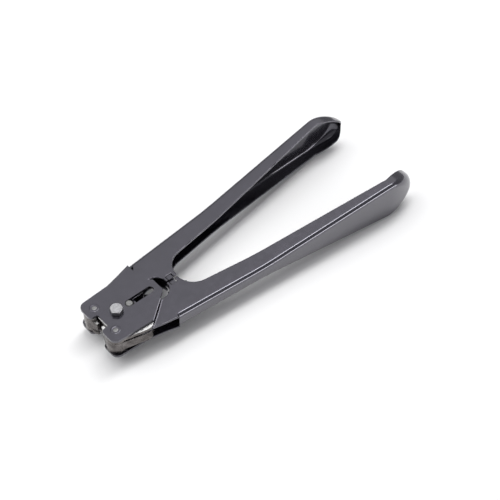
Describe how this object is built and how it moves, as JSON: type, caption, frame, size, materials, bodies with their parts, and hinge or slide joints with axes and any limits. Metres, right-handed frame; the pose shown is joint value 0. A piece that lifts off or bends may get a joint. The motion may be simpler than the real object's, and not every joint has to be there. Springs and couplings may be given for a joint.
{
  "type": "manual strap sealer",
  "caption": "Hand-operated front-action strap sealer: long channel-section handles on a sliding pivot pin close laminated crimping jaws between bolted cover plates.",
  "frame": {"origin": "middle of the anvil face, where the strap seal is held between the jaws", "axes": "+X from the mouth along the centre line towards the grips, +Y towards the left handle, +Z towards the bolt head"},
  "size_m": [0.371, 0.1284, 0.0502],
  "materials": {
    "dark_paint": "glossy dark grey paint on pressed steel",
    "tool_steel": "ground hardened steel, lightly oiled",
    "pin_steel": "turned steel pins",
    "black_oxide": "black oxide on turned steel",
    "zinc_plate": "satin zinc plating on the fasteners"
  },
  "bodies": {
    "head": {"upper_cover_plate": "dark_paint", "lower_cover_plate": "dark_paint", "anvil": "tool_steel", "centre_bolt": "zinc_plate", "centre_nut": "zinc_plate", "nut_washer": "zinc_plate", "left_jaw_pin": "pin_steel", "right_jaw_pin": "pin_steel"},
    "left_jaw": {"left_upper_jaw_plate": "tool_steel", "left_middle_jaw_plate": "tool_steel", "left_lower_jaw_plate": "tool_steel", "left_jaw_spacers": "tool_steel"},
    "right_jaw": {"right_upper_jaw_plate": "tool_steel", "right_middle_jaw_plate": "tool_steel", "right_lower_jaw_plate": "tool_steel", "right_jaw_spacers": "tool_steel"},
    "guide": {"guide_pin": "pin_steel", "guide_pin_collars": "black_oxide", "guide_pin_sleeve": "black_oxide"},
    "left_handle": {"left_handle": "dark_paint", "left_link_pin": "pin_steel", "left_stop_block": "dark_paint"},
    "right_handle": {"right_handle": "dark_paint", "right_link_pin": "pin_steel", "right_stop_block": "dark_paint"}
  },
  "joints": [
    {"name": "guide_slide", "type": "slide", "parent": "head", "child": "guide", "axis": [1, 0, 0], "range_m": [0, 0.02]},
    {"name": "left_handle_swing", "type": "hinge", "parent": "guide", "child": "left_handle", "pos_m": [0.032, 0, 0], "axis": [0, 0, 1], "range_deg": [0, 45]},
    {"name": "right_handle_swing", "type": "hinge", "parent": "guide", "child": "right_handle", "pos_m": [0.032, 0, 0], "axis": [0, 0, 1], "range_deg": [-45, 0]},
    {"name": "left_jaw_pivot", "type": "hinge", "parent": "head", "child": "left_jaw", "pos_m": [0.003, 0.017, 0], "axis": [0, 0, 1], "range_deg": [-17.6, 0]},
    {"name": "right_jaw_pivot", "type": "hinge", "parent": "head", "child": "right_jaw", "pos_m": [0.003, -0.017, 0], "axis": [0, 0, 1], "range_deg": [0, 17.6]}
  ],
  "couplings": [
    {"joint": "guide_slide", "follows": "left_handle_swing", "m_per_rad": 0.0252},
    {"joint": "right_handle_swing", "follows": "left_handle_swing", "ratio": -1},
    {"joint": "left_jaw_pivot", "follows": "left_handle_swing", "ratio": -0.39},
    {"joint": "right_jaw_pivot", "follows": "left_handle_swing", "ratio": 0.39}
  ]
}
